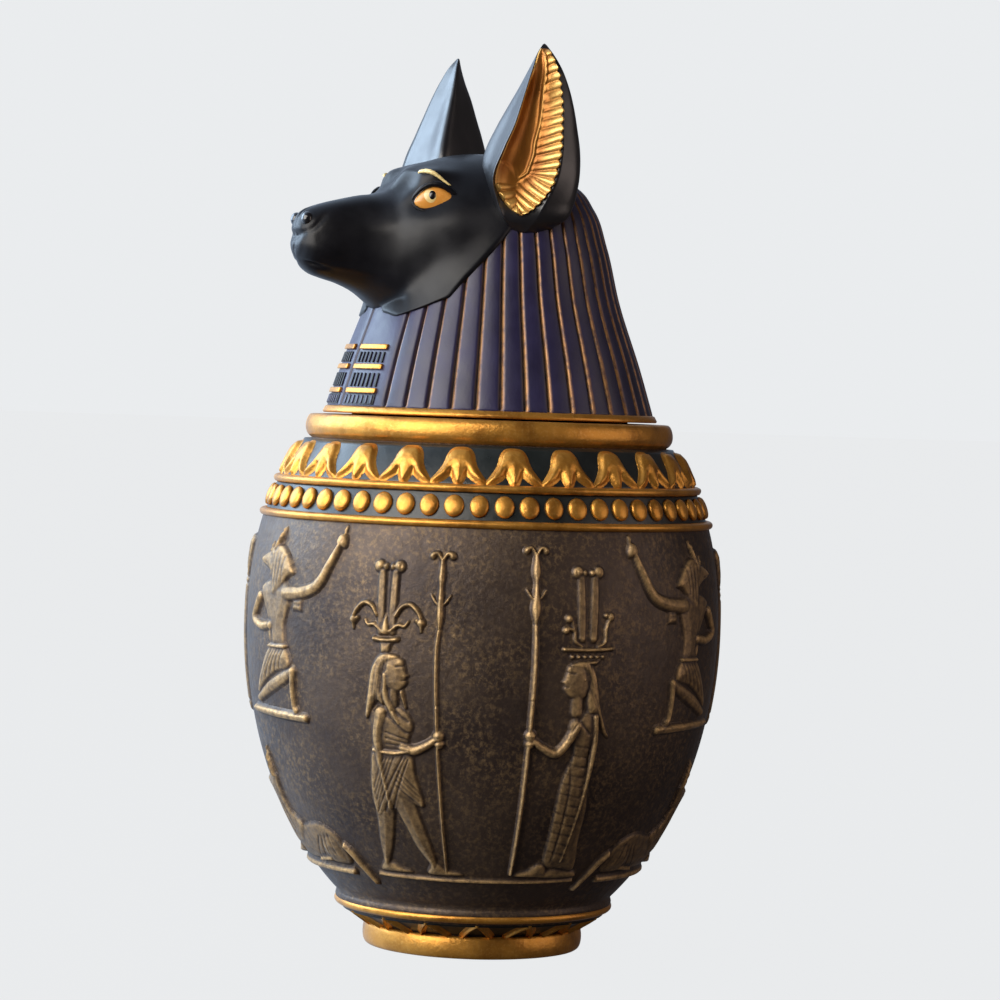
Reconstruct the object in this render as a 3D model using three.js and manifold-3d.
// Canopic jar with a jackal-headed lid, in millimetres, +Z up.
// The origin is the centre of the foot's underside, and the jackal looks along -Y.
import * as THREE from 'three';
import { mergeVertices } from 'three/addons/utils/BufferGeometryUtils.js';
import Module from 'manifold-3d';

const wasm = await Module();
wasm.setup();

// Vessel
const VESSEL_HEIGHT = 165;
const VESSEL_SIDES = 30;
const WALL = 5.5;
const FLOOR = 9;
const BELLY_RADIUS = 73.6;
const BELLY_LEVEL = 100;
const BELLY_FALL_SHARE = 1.025;
const SHOULDER_RISE_SHARE = 1.323;
const SHOULDER_POWER = 2.375;
const MOUTH_RADIUS = 44;

// Gold rings of the vessel
const RIM_RADIUS = 57.5;
const RIM_HEIGHT = 8;
const RIM_UNDERCUT = 2.2;
const FOOT_RADIUS = 34.4;
const FOOT_HEIGHT = 7;
const FOOT_NECK_RADIUS = 33.4;
const ANKLE_RADIUS = 43.2;
const ANKLE_HEIGHT = 4.4;
const BAND_RING_HEIGHT = 2.4;
const BAND_RING_PROUD = 1.6;
const RING_BULGE_POWER = 0.85;

// Bands between the rings
const FOOT_BAND_HEIGHT = 5.2;
const LOTUS_BAND_HEIGHT = 11.2;
const BEAD_BAND_HEIGHT = 8.1;
const LOTUS_COUNT = 24;
const LOTUS_WIDTH = 15;
const LOTUS_AZIMUTH = -2.8;
const BEAD_COUNT = 57;
const BEAD_RADIUS = 3.3;
const CHEVRON_COUNT = 16;
const CHEVRON_WIDTH = 10.4;
const ORNAMENT_RAISE = 1.1;

// Carved figures
const RELIEF_GROUND = 28;
const RELIEF_AZIMUTH = 65.7;
const RELIEF_RAISE = 1.5;
const RELIEF_SINK = 1.4;
const RELIEF_DRAFT = 0.35;

// Lid
const LID_HEIGHT = 114.7;
const LID_GAP = 0.3;
const LID_SIDES = 30;
const LID_HOLLOW_SIDES = 20;
const LID_WALL = 6;
const LID_EDGE_RADIUS = 52.6;
const LID_EDGE_HEIGHT = 2.2;
const WIG_RADIUS = 51;
const WIG_GROOVES = 42;
const WIG_GROOVE_DEPTH = 1.1;
const LAPPET_WIDTH = 12;
const LAPPET_BAR_HEIGHT = 1.6;
const LAPPET_BAR_DEPTH = 2.4;
const LAPPET_BAR_SINK = 0.4;
const LAPPET_BAR_SHARES = [0.057, 0.124, 0.174];
const PLUG_DEPTH = 10;
const PLUG_WALL = 4.5;
const PLUG_CLEARANCE = 0.8;

// Levels that follow from the sizes above
const RIM_BOTTOM = VESSEL_HEIGHT - RIM_HEIGHT;
const LOTUS_RING_TOP = RIM_BOTTOM - LOTUS_BAND_HEIGHT;
const LOTUS_RING_BOTTOM = LOTUS_RING_TOP - BAND_RING_HEIGHT;
const BEAD_RING_TOP = LOTUS_RING_BOTTOM - BEAD_BAND_HEIGHT;
const BEAD_RING_BOTTOM = BEAD_RING_TOP - BAND_RING_HEIGHT;
const ANKLE_BOTTOM = FOOT_HEIGHT + FOOT_BAND_HEIGHT;
const ANKLE_TOP = ANKLE_BOTTOM + ANKLE_HEIGHT;
const LID_LEVEL = VESSEL_HEIGHT + LID_GAP;
const WIG_LEVEL = LID_LEVEL + LID_EDGE_HEIGHT;

// The figures were drawn on a field 104.8 units high, and the lid on a height of 114.7 units.
const RELIEF_UNIT = (BEAD_RING_BOTTOM - RELIEF_GROUND) / 104.8;
const LID_UNIT = LID_HEIGHT / 114.7;

const WELD = 1e-4;
const radians = THREE.MathUtils.degToRad;

// Radius of the plain vessel at a level, without rings or carving.
function skin(level) {
  if (level < ANKLE_BOTTOM) {
    const share = (level - FOOT_HEIGHT) / FOOT_BAND_HEIGHT;
    return THREE.MathUtils.lerp(FOOT_NECK_RADIUS, ANKLE_RADIUS - BAND_RING_PROUD, share);
  }
  if (level < BELLY_LEVEL) {
    const fall = (BELLY_LEVEL - level) / (BELLY_LEVEL * BELLY_FALL_SHARE);
    return BELLY_RADIUS * Math.sqrt(1 - fall ** 2);
  }
  const rise = (level - BELLY_LEVEL) / ((VESSEL_HEIGHT - BELLY_LEVEL) * SHOULDER_RISE_SHARE);
  return BELLY_RADIUS * Math.sqrt(1 - rise ** SHOULDER_POWER);
}

// Outward direction of the plain vessel at a level, as radius and height.
function skinNormal(level) {
  const step = 0.5;
  const slope = (skin(level + step) - skin(level - step)) / (2 * step);
  return new THREE.Vector2(1, -slope).normalize();
}

// A closed geometry as a solid that can be joined and cut.
function solidOf(geometry) {
  const bare = geometry.clone();
  bare.deleteAttribute('normal');
  bare.deleteAttribute('uv');
  const welded = mergeVertices(bare, WELD);
  const triVerts = [];
  for (let i = 0; i < welded.index.count; i += 3) {
    const [a, b, c] = [0, 1, 2].map((corner) => welded.index.getX(i + corner));
    if (a !== b && b !== c && c !== a) triVerts.push(a, b, c);
  }
  const vertProperties = Float32Array.from(welded.attributes.position.array);
  return new wasm.Manifold(new wasm.Mesh({ numProp: 3, vertProperties, triVerts: Uint32Array.from(triVerts) }));
}

// A solid as a named mesh.
function meshOf(name, solid, material) {
  const { numProp, vertProperties, triVerts } = solid.getMesh();
  const geometry = new THREE.BufferGeometry();
  geometry.setAttribute('position', new THREE.BufferAttribute(vertProperties, numProp));
  geometry.setIndex(new THREE.BufferAttribute(triVerts, 1));
  geometry.computeVertexNormals();
  const mesh = new THREE.Mesh(geometry, material);
  mesh.name = name;
  return mesh;
}

// Moves every vertex of a geometry by a function of its place.
function reshape(geometry, place) {
  const { position } = geometry.attributes;
  const at = new THREE.Vector3();
  for (let i = 0; i < position.count; i += 1) {
    at.fromBufferAttribute(position, i);
    const moved = place(at);
    position.setXYZ(i, moved.x, moved.y, moved.z);
  }
  return geometry;
}

// A profile of [radius, level] points turned about the Z axis.
function turned(profile, sides) {
  const points = profile.map(([radius, level]) => new THREE.Vector2(radius, level));
  return new THREE.LatheGeometry(points, sides).rotateX(Math.PI / 2);
}

// A skin stretched over rings: ring(row, angle) gives a point, and middle(row) the centre of an end ring.
function lofted(rows, sides, ring, middle) {
  const geometry = new THREE.CylinderGeometry(1, 1, rows - 1, sides, rows - 1);
  return reshape(geometry, (at) => {
    const row = Math.round(at.y + (rows - 1) / 2);
    if (Math.hypot(at.x, at.z) < 0.5) return middle(row);
    return ring(row, Math.atan2(at.x, at.z));
  });
}

// Points of a half-round moulding between two levels, standing out to a radius.
function moulding(bottom, top, innerBottom, innerTop, radius, steps) {
  const points = [[innerBottom, bottom]];
  for (let i = 1; i < steps; i += 1) {
    const angle = (Math.PI * i) / steps;
    const bulge = Math.sin(angle) ** RING_BULGE_POWER;
    const level = (bottom + top) / 2 - (Math.cos(angle) * (top - bottom)) / 2;
    const base = THREE.MathUtils.lerp(innerBottom, innerTop, (level - bottom) / (top - bottom));
    points.push([base + (radius - base) * bulge, level]);
  }
  points.push([innerTop, top]);
  return points;
}

// A moulding that lies on the vessel's skin.
function skinRing(bottom, top, proud, steps) {
  const radius = skin((bottom + top) / 2) + proud;
  return moulding(bottom, top, skin(bottom), skin(top), radius, steps);
}

// Points of the skin between two levels, moved in or out by an offset along its normal.
function skinRun(from, to, steps, offset) {
  return Array.from({ length: steps + 1 }, (_, i) => {
    const level = THREE.MathUtils.lerp(from, to, i / steps);
    const normal = skinNormal(level);
    return [skin(level) + normal.x * offset, level + normal.y * offset];
  });
}

// The turned body of the vessel, from the middle of the underside round the rim to the middle of the floor.
function vesselProfile() {
  const insideTop = RIM_BOTTOM - RIM_UNDERCUT;
  const insideFoot = ANKLE_TOP + WALL;
  const neck = RIM_RADIUS - RIM_UNDERCUT;
  return [
    [0, 0],
    ...moulding(0, FOOT_HEIGHT, FOOT_RADIUS - FOOT_HEIGHT / 4, FOOT_NECK_RADIUS, FOOT_RADIUS, 3),
    ...moulding(ANKLE_BOTTOM, ANKLE_TOP, skin(ANKLE_BOTTOM - 0.1), skin(ANKLE_TOP), ANKLE_RADIUS, 3),
    ...skinRun(ANKLE_TOP + ANKLE_HEIGHT, BEAD_RING_BOTTOM - ANKLE_HEIGHT, 6, 0),
    ...skinRing(BEAD_RING_BOTTOM, BEAD_RING_TOP, BAND_RING_PROUD, 2),
    ...skinRing(LOTUS_RING_BOTTOM, LOTUS_RING_TOP, BAND_RING_PROUD, 2),
    [skin(RIM_BOTTOM - RIM_UNDERCUT), RIM_BOTTOM - RIM_UNDERCUT],
    ...moulding(RIM_BOTTOM, VESSEL_HEIGHT, neck - RIM_UNDERCUT, neck, RIM_RADIUS, 4),
    [MOUTH_RADIUS, VESSEL_HEIGHT],
    [MOUTH_RADIUS, RIM_BOTTOM],
    ...skinRun(insideTop - WALL, insideFoot, 4, -WALL),
    [FOOT_NECK_RADIUS - WALL, FLOOR],
    [0, FLOOR],
  ];
}

// An ellipse as a closed outline with few sides.
function oval(x, y, halfWidth, halfHeight, sides = 6) {
  return Array.from({ length: sides }, (_, i) => {
    const angle = (2 * Math.PI * (i + 0.5)) / sides;
    return [x + halfWidth * Math.sin(angle), y + halfHeight * Math.cos(angle)];
  });
}

// An outline drawn in again by an amount, for the upper edge of a raised piece.
function drawnIn(outline, amount) {
  return outline.map((point, i) => {
    const before = outline[(i + outline.length - 1) % outline.length];
    const after = outline[(i + 1) % outline.length];
    const first = new THREE.Vector2(before.y - point.y, point.x - before.x).normalize();
    const second = new THREE.Vector2(point.y - after.y, after.x - point.x).normalize();
    const mitre = first.clone().add(second).normalize();
    const reach = Math.min(1 / Math.max(mitre.dot(first), 0.5), 1.6);
    return point.clone().addScaledVector(mitre, amount * reach);
  });
}

// A raised piece over an outline of [x, y] points: its foot lies under the surface, its top is drawn in.
function raisedOutline(outline, height, draft) {
  const foot = outline.map(([x, y]) => new THREE.Vector2(x, y));
  if (THREE.ShapeUtils.isClockWise(foot)) foot.reverse();
  const top = drawnIn(foot, draft);
  const flat = new THREE.ExtrudeGeometry(new THREE.Shape(foot), { depth: 1, bevelEnabled: false });
  return reshape(flat, (at) => {
    if (at.z < 0.5) return new THREE.Vector3(at.x, at.y, -RELIEF_SINK);
    const distances = foot.map((point) => Math.hypot(point.x - at.x, point.y - at.y));
    const match = top[distances.indexOf(Math.min(...distances))];
    return new THREE.Vector3(match.x, match.y, height);
  });
}

// A raised tapered stroke along points of [x, y, half width].
function raisedStroke(path, height, draft) {
  const rows = path.length - 1;
  const bar = new THREE.BoxGeometry(2, rows, 1, 1, rows, 1);
  return reshape(bar, (at) => {
    const row = Math.round(at.y + rows / 2);
    const [x, y, half] = path[row];
    const [beforeX, beforeY] = path[Math.max(row - 1, 0)];
    const [afterX, afterY] = path[Math.min(row + 1, rows)];
    const along = new THREE.Vector2(afterX - beforeX, afterY - beforeY).normalize();
    const reach = Math.sign(at.x) * (at.z > 0 ? half - Math.min(draft, half / 2) : half);
    return new THREE.Vector3(x + along.y * reach, y - along.x * reach, at.z > 0 ? height : -RELIEF_SINK);
  });
}

// A raised piece from a drawing: three numbers a point make a stroke, two make an outline.
function raised(points, height, draft = RELIEF_DRAFT) {
  const build = points[0].length === 3 ? raisedStroke : raisedOutline;
  return build(points, height, draft);
}

// Lays a flat piece on the vessel. Its x runs round at the given radius, its y is the level, its z the height.
function onVessel(geometry, azimuth, radius) {
  return reshape(geometry, (at) => {
    const angle = radians(azimuth) + at.x / radius;
    const normal = skinNormal(at.y);
    const reach = skin(at.y) + normal.x * at.z;
    return new THREE.Vector3(reach * Math.sin(angle), -reach * Math.cos(angle), at.y + normal.y * at.z);
  });
}

// A hanging lotus flower: a blunt calyx above, three petal points below.
function lotusOutline() {
  const half = LOTUS_WIDTH / 2;
  const top = RIM_BOTTOM - RIM_UNDERCUT;
  const length = top - LOTUS_RING_TOP;
  const side = [[0.38, 0], [1, 0.94], [0.34, 0.66]];
  const right = side.map(([x, y]) => [x * half, top - y * length]);
  const left = right.map(([x, y]) => [-x, y]).reverse();
  return [...right, [0, top - length * 0.96], ...left];
}

function lotusBand() {
  const radius = skin(RIM_BOTTOM - LOTUS_BAND_HEIGHT / 2);
  return Array.from({ length: LOTUS_COUNT }, (_, i) => {
    const flower = raised(lotusOutline(), ORNAMENT_RAISE, RELIEF_DRAFT);
    return onVessel(flower, LOTUS_AZIMUTH + (360 * i) / LOTUS_COUNT, radius);
  });
}

function beadBand() {
  const level = (LOTUS_RING_BOTTOM + BEAD_RING_TOP) / 2;
  return Array.from({ length: BEAD_COUNT }, (_, i) => {
    const bead = new THREE.ConeGeometry(BEAD_RADIUS, ORNAMENT_RAISE + RELIEF_SINK, 6).rotateX(Math.PI / 2);
    bead.translate(0, level, (ORNAMENT_RAISE - RELIEF_SINK) / 2);
    return onVessel(bead, (360 * i) / BEAD_COUNT, skin(level));
  });
}

function chevronBand() {
  const bottom = FOOT_HEIGHT + 0.4;
  const top = ANKLE_BOTTOM - 0.4;
  const half = CHEVRON_WIDTH / 2;
  const outline = [[-half, bottom], [0, top], [half, bottom]];
  return Array.from({ length: CHEVRON_COUNT }, (_, i) => {
    const chevron = raised(outline, ORNAMENT_RAISE * 0.7, RELIEF_DRAFT / 2);
    return onVessel(chevron, (360 * i) / CHEVRON_COUNT, skin((bottom + top) / 2));
  });
}

// Figures of the relief. Each is a list of [points, height as a share of the relief's height].
// x runs to the right from the middle of the scene, y up from the ground line.
// A plain figure is one on the hidden side, without its plants, arms and staff.

function plumes(x, y) {
  return [
    [[[x, y, 4], [x, y + 10, 3.4], [x, y + 20.6, 3.2]], 0.8],
    [oval(x - 3, y + 21.4, 2.5, 2, 5), 1.3],
    [oval(x + 3, y + 21.4, 2.5, 2, 5), 1.3],
  ];
}

function flowerStaff(x, top, lean) {
  const head = x + lean;
  const rod = [0.02, 0.2, 0.4, 0.6, 0.8, 0.98].map((share) => [x + lean * share, top * share, 0.85]);
  return [
    [rod, 1],
    [[[head - 4, top + 1.4], [head + 4, top + 1.4], [head, top - 2.4]], 1.1],
    [[[head - 3, top - 11], [head + 3, top - 11], [head, top - 17.4]], 1.3],
  ];
}

function standingMan(plain) {
  const parts = [
    [[[-23.8, 63], [-26, 66.4], [-31, 66.6], [-34, 61], [-35.8, 50.6], [-27, 52], [-23, 56], [-21.6, 59.4]], 1.2],
    [[[-34.8, 49.6], [-24.4, 51.4], [-20.8, 46], [-22.4, 38.6], [-33.6, 38.6]], 1.1],
    [[[-22.2, 38], [-18.4, 21.6], [-36, 18], [-37, 27], [-33.8, 38]], 1.4],
    [[[-36.4, 17.2], [-40.4, 0.2], [-27, 0.2], [-35.4, 4.6], [-30, 15], [-19.2, 0.2], [-5.8, 0.2], [-14.6, 5],
      [-19.4, 20.4]], 1],
  ];
  if (plain) return parts;
  const arches = [-1, 1].map((side) => {
    const arch = [[3.4, 4.6, 0.8], [6.8, 9.4, 0.9], [12, 3, 1.5]];
    return [arch.map(([u, v, w]) => [-28.5 + side * u, 71.2 + v, w]), 1.1];
  });
  return [
    ...parts,
    ...plumes(-28.5, 71.2),
    ...arches,
    [[[-24.2, 71.6], [-33, 71.6], [-30.6, 65], [-26.6, 65]], 1.1],
    [[[-31, 50.8, 2.5], [-32.2, 37, 2], [-30.6, 21.6, 1.5]], 1.8],
    [[[-24.4, 39.4, 1.8], [-16, 41, 1.6], [-11, 43, 2.3]], 1.6],
    ...flowerStaff(-12.3, 97, -1),
  ];
}

function standingWoman(plain) {
  const parts = [
    [[[25.8, 63.4], [24.3, 59.2], [26.4, 55.8], [36, 54], [41.8, 43.4], [36.8, 59], [34, 65.6], [28, 66]], 1.2],
    [[[29, 55], [25.6, 46.6], [28.4, 38.6], [34.6, 38.6], [37, 47], [36, 53]], 1.1],
    [[[28.6, 38], [26.4, 28], [26.3, 20], [38, 20], [36.8, 28], [34.4, 38]], 1.3],
    [[[26.3, 19.4], [26.6, 4.6], [15.8, 0.2], [42.8, -0.2], [38, 19.4]], 1.2],
  ];
  if (plain) return parts;
  return [
    ...parts,
    ...plumes(31.8, 71.6),
    [[[23.9, 71.8], [39.5, 71.8], [36, 65], [28, 65]], 1.1],
    [[[29.4, 45.6, 1.6], [23.6, 39.6, 1.7], [13.6, 43.6, 2.2]], 1.6],
    [[[35, 50, 1.6], [35.4, 30, 1.4], [33.4, 8, 1]], 1.6],
    ...flowerStaff(14.4, 99.4, 0.9),
  ];
}

function kneelingJackalFigure(plain) {
  const parts = [
    [[[-82.6, 95.6], [-88.2, 92.4], [-87.6, 90.2], [-80, 88], [-76.6, 80.6], [-66, 88.6], [-75, 96.4]], 1.2],
    [[[-86.4, 82], [-69, 84.8], [-66.4, 80], [-69, 65.6], [-77.6, 65.6]], 1.1],
    [[[-70, 82.4, 2.3], [-55.2, 85.8, 2], [-46.6, 102.8, 1.2]], 1.3],
    [[[-77.6, 66.4], [-69.2, 66.4], [-64.6, 59.6], [-70, 55.8], [-89, 48.8]], 1.4],
    [[[-94.4, 46, 1.6], [-77.6, 45.7, 1.6], [-60.8, 45.2, 1.6]], 1.3],
  ];
  if (plain) return parts;
  return [
    ...parts,
    [[[-80.6, 94.6], [-75.6, 101.8], [-77.4, 94.6]], 1.2],
    [[[-84, 80], [-90.4, 72.6], [-76, 69.8], [-76, 73.6], [-85.6, 74.8]], 1.4],
    [[[-65.2, 60.4, 1.5], [-65.6, 46, 1.4]], 1],
  ];
}

function lyingJackal() {
  return [
    [[[-55.4, 6.4], [-61, 10.6], [-77, 12.6], [-77, 0], [-57, 0]], 1.2],
    [[[-76, 12.6], [-88, 19], [-91.6, 34], [-97.4, 27.2], [-107.4, 23.6], [-97.6, 19.6], [-93, 0], [-76, 0]], 1.1],
    [[[-58.4, 7.6, 1.7], [-46.4, -3.8, 1.4]], 1.1],
    [[[-110.4, 1.4, 1.5], [-93, 2.4, 2.2]], 1.1],
    [[[-112.4, -1.4, 1.3], [-94, -1.4, 1.3], [-75.6, -1.4, 1.3], [-57, -1.4, 1.3]], 1.3],
  ];
}

function groundLine() {
  const ends = [-43, -28.6, -14.3, 0, 14.3, 28.6, 43];
  return [[ends.map((x) => [x, -1.3, 0.9]), 0.8]];
}

function papyrusColumn() {
  const x = (-BELLY_RADIUS * Math.PI) / (2 * RELIEF_UNIT);
  return [
    [[[x, 46, 3.2], [x, 67, 2.6], [x, 88, 2.2]], 1.1],
    [[[x - 2.2, 86], [x + 2.2, 86], [x + 6, 98], [x - 6, 98]], 1.4],
  ];
}

// A drawing turned left for right about the middle of its scene.
function mirrored(parts) {
  return parts.map(([points, height]) => [points.map(([x, ...rest]) => [-x, ...rest]), height]);
}

// One side of the relief: the pair with their staffs, and what kneels and lies to the left and right of them.
function reliefScene(plain) {
  const flank = [...kneelingJackalFigure(plain), ...(plain ? [] : lyingJackal())];
  return [
    ...(plain ? [] : groundLine()),
    ...standingMan(plain),
    ...standingWoman(plain),
    ...flank,
    ...mirrored(flank),
    ...papyrusColumn(),
  ];
}

function reliefOnVessel(azimuth, plain) {
  return reliefScene(plain).map(([points, height]) => {
    const drawn = points.map(([x, y, ...half]) => (
      [x * RELIEF_UNIT, RELIEF_GROUND + y * RELIEF_UNIT, ...half.map((width) => width * RELIEF_UNIT)]
    ));
    return onVessel(raised(drawn, height * RELIEF_RAISE), azimuth, BELLY_RADIUS);
  });
}

function vesselSolid() {
  const carving = [
    ...lotusBand(),
    ...beadBand(),
    ...chevronBand(),
    ...reliefOnVessel(RELIEF_AZIMUTH, false),
    ...reliefOnVessel(RELIEF_AZIMUTH + 180, true),
  ];
  const body = solidOf(turned(vesselProfile(), VESSEL_SIDES));
  return carving.reduce((solid, piece) => solid.add(solidOf(piece)), body);
}

// Lid. Places on it are [x, y, height above the wig's foot], in units of LID_UNIT.
function onLid(x, y, rise) {
  return new THREE.Vector3(x * LID_UNIT, y * LID_UNIT, WIG_LEVEL + rise * LID_UNIT);
}

// Radius of the wig's bell at a height above its foot, as a smooth curve through a few chosen rings.
const WIG_CURVE = new THREE.CatmullRomCurve3(
  [[51, 0], [46.6, 14], [39.4, 34.5], [34.8, 52], [30.4, 63.5], [22, 72.5], [10, 76.5]]
    .map(([radius, rise]) => new THREE.Vector3((radius * WIG_RADIUS) / 51, rise * LID_UNIT, 0)),
);

function wigSolid() {
  const rows = 5;
  const sides = WIG_GROOVES * 2;
  const bell = lofted(
    rows,
    sides,
    (row, angle) => {
      const point = WIG_CURVE.getPoint(row / (rows - 1));
      const column = Math.round((angle / (2 * Math.PI)) * sides);
      const depth = column % 2 === 0 ? WIG_GROOVE_DEPTH * Math.min(1, point.x / (WIG_RADIUS / 2)) : 0;
      const radius = point.x - depth;
      const level = WIG_LEVEL + (row === 0 ? -LID_EDGE_HEIGHT / 2 : point.y);
      return new THREE.Vector3(radius * Math.sin(angle), -radius * Math.cos(angle), level);
    },
    (row) => new THREE.Vector3(0, 0, WIG_LEVEL + (row === 0 ? -LID_EDGE_HEIGHT / 2 : WIG_CURVE.getPoint(1).y)),
  );
  return solidOf(bell);
}

// Rings of the head from inside the wig to the nose: y, half width, top, bottom, squareness.
const HEAD_RINGS = [
  [14, 20, 74, 48, 1],
  [0, 28, 79, 36, 1],
  [-18, 28, 78.4, 28, 1.05],
  [-29, 24, 75.5, 27, 1.1],
  [-36, 19, 70.5, 27.5, 1.1],
  [-43, 14, 66, 31, 1.1],
  [-52, 10.8, 63.4, 34.6, 1.15],
  [-60, 9.2, 61.4, 37.4, 1.2],
  [-66, 7.6, 60.2, 40.4, 1.2],
  [-69.6, 4.6, 57.6, 45, 1.1],
];

function headSolid() {
  const head = lofted(
    HEAD_RINGS.length,
    12,
    (row, angle) => {
      const [y, half, top, bottom, square] = HEAD_RINGS[row];
      const across = Math.sign(Math.sin(angle)) * Math.abs(Math.sin(angle)) ** (1 / square);
      const up = Math.sign(Math.cos(angle)) * Math.abs(Math.cos(angle)) ** (1 / square);
      return onLid(-half * across, y, (top + bottom) / 2 + ((top - bottom) / 2) * up);
    },
    (row) => onLid(0, HEAD_RINGS[row][0], (HEAD_RINGS[row][2] + HEAD_RINGS[row][3]) / 2),
  );
  return solidOf(head);
}

// A low egg-shaped bump on the head, turned about the Z axis to lie along the cheek.
function bumpSolid(x, y, rise, size, turn) {
  const egg = new THREE.SphereGeometry(1, 6, 4);
  egg.scale(...size.map((half) => half * LID_UNIT)).rotateZ(radians(turn));
  const middle = onLid(x, y, rise);
  return solidOf(egg.translate(middle.x, middle.y, middle.z));
}

// The eyes, the ridges of the brows above them and the pad of the nose.
function faceSolids() {
  const pairs = [-1, 1].flatMap((side) => [
    bumpSolid(side * 18.6, -30, 63.6, [2.6, 7, 3.4], side * 32),
    bumpSolid(side * 16.4, -31.6, 69.2, [2.4, 9.4, 1.8], side * 32),
  ]);
  return [...pairs, bumpSolid(0, -67.6, 56.4, [4.8, 3.4, 3.6], 0)];
}

// Raised bars across the ends of the two lappets, on either side of the front groove.
function lappetSolids() {
  const spread = (1.35 * 360) / WIG_GROOVES;
  return [-1, 1].flatMap((side) => LAPPET_BAR_SHARES.map((share) => {
    const radius = WIG_CURVE.getPoint(share * 1.46).x;
    const bar = new THREE.BoxGeometry(LAPPET_WIDTH, LAPPET_BAR_DEPTH, LAPPET_BAR_HEIGHT);
    bar.translate(0, LAPPET_BAR_SINK - radius, WIG_LEVEL + share * LID_HEIGHT).rotateZ(radians(side * spread));
    return solidOf(bar);
  }));
}

// Rings of the right ear from its root to its tip: rise, x, y, half width, half depth.
const EAR_RINGS = [
  [58, 31, -8, 3, 4.4],
  [65, 31, -5, 8, 11.2],
  [75, 30, -2.4, 10, 13.4],
  [86, 29.8, -1.6, 9.2, 12.2],
  [97, 30.2, -1.2, 6.6, 8.8],
  [106.5, 30.8, -1, 3.4, 4.6],
  [112.4, 31, -1, 0.5, 0.7],
];
const EAR_FACING = 58;
const EAR_HOLLOW_SHARE = 0.7;
const EAR_HOLLOW_SHIFT = 0.55;

// The ear's outer skin, or its hollow when it is drawn in by a share and shifted the way the ear faces.
function earLoft(share, shift, rings) {
  const shiftX = shift * Math.sin(radians(EAR_FACING));
  const shiftY = shift * Math.cos(radians(EAR_FACING));
  return solidOf(lofted(
    rings.length,
    8,
    (row, angle) => {
      const [rise, x, y, half, depth] = rings[row];
      const across = share * Math.sin(angle) + shiftX;
      const forward = share * Math.cos(angle) + shiftY;
      return onLid(x + half * across, y - depth * forward, rise);
    },
    (row) => {
      const [rise, x, y, half, depth] = rings[row];
      return onLid(x + half * shiftX, y - depth * shiftY, rise);
    },
  ));
}

function earSolid(side) {
  const hollow = earLoft(EAR_HOLLOW_SHARE, EAR_HOLLOW_SHIFT, EAR_RINGS.slice(1));
  const ear = earLoft(1, 0, EAR_RINGS).subtract(hollow);
  return side > 0 ? ear : ear.mirror([1, 0, 0]);
}

// The lid's gold edge and the ring that drops into the mouth.
function lidEdgeSolid() {
  const plug = MOUTH_RADIUS - PLUG_CLEARANCE;
  const profile = [
    [0, LID_LEVEL - PLUG_DEPTH],
    [plug, LID_LEVEL - PLUG_DEPTH],
    [plug, LID_LEVEL],
    [LID_EDGE_RADIUS, LID_LEVEL],
    [LID_EDGE_RADIUS, LID_LEVEL + LID_EDGE_HEIGHT / 3],
    [WIG_RADIUS + WIG_GROOVE_DEPTH / 2, WIG_LEVEL],
    [0, WIG_LEVEL],
  ];
  return solidOf(turned(profile, LID_SIDES));
}

// The hollow inside the lid, open below.
function lidHollowSolid() {
  const inside = MOUTH_RADIUS - PLUG_CLEARANCE - PLUG_WALL;
  const shell = WIG_GROOVE_DEPTH + LID_WALL;
  const profile = [[0, LID_LEVEL - PLUG_DEPTH - 1], [inside, LID_LEVEL - PLUG_DEPTH - 1]];
  [0.14, 0.4, 0.64].forEach((share) => {
    const point = WIG_CURVE.getPoint(share);
    profile.push([Math.min(inside, point.x - shell), WIG_LEVEL + point.y]);
  });
  const top = WIG_CURVE.getPoint(0.8);
  profile.push([0, WIG_LEVEL + top.y - shell]);
  return solidOf(turned(profile, LID_HOLLOW_SIDES));
}

function lidSolid() {
  const added = [lidEdgeSolid(), headSolid(), earSolid(1), earSolid(-1), ...faceSolids(), ...lappetSolids()];
  return added.reduce((solid, piece) => solid.add(piece), wigSolid()).subtract(lidHollowSolid());
}

const bronzePaint = new THREE.MeshStandardMaterial({ color: 0x3c342e, roughness: 0.5, metalness: 0.4 });
const lidPaint = new THREE.MeshStandardMaterial({ color: 0x26243a, roughness: 0.35, metalness: 0.1 });

const canopicJar = new THREE.Group();
canopicJar.add(meshOf('jar', vesselSolid(), bronzePaint));
canopicJar.add(meshOf('lid', lidSolid(), lidPaint));

export default canopicJar;
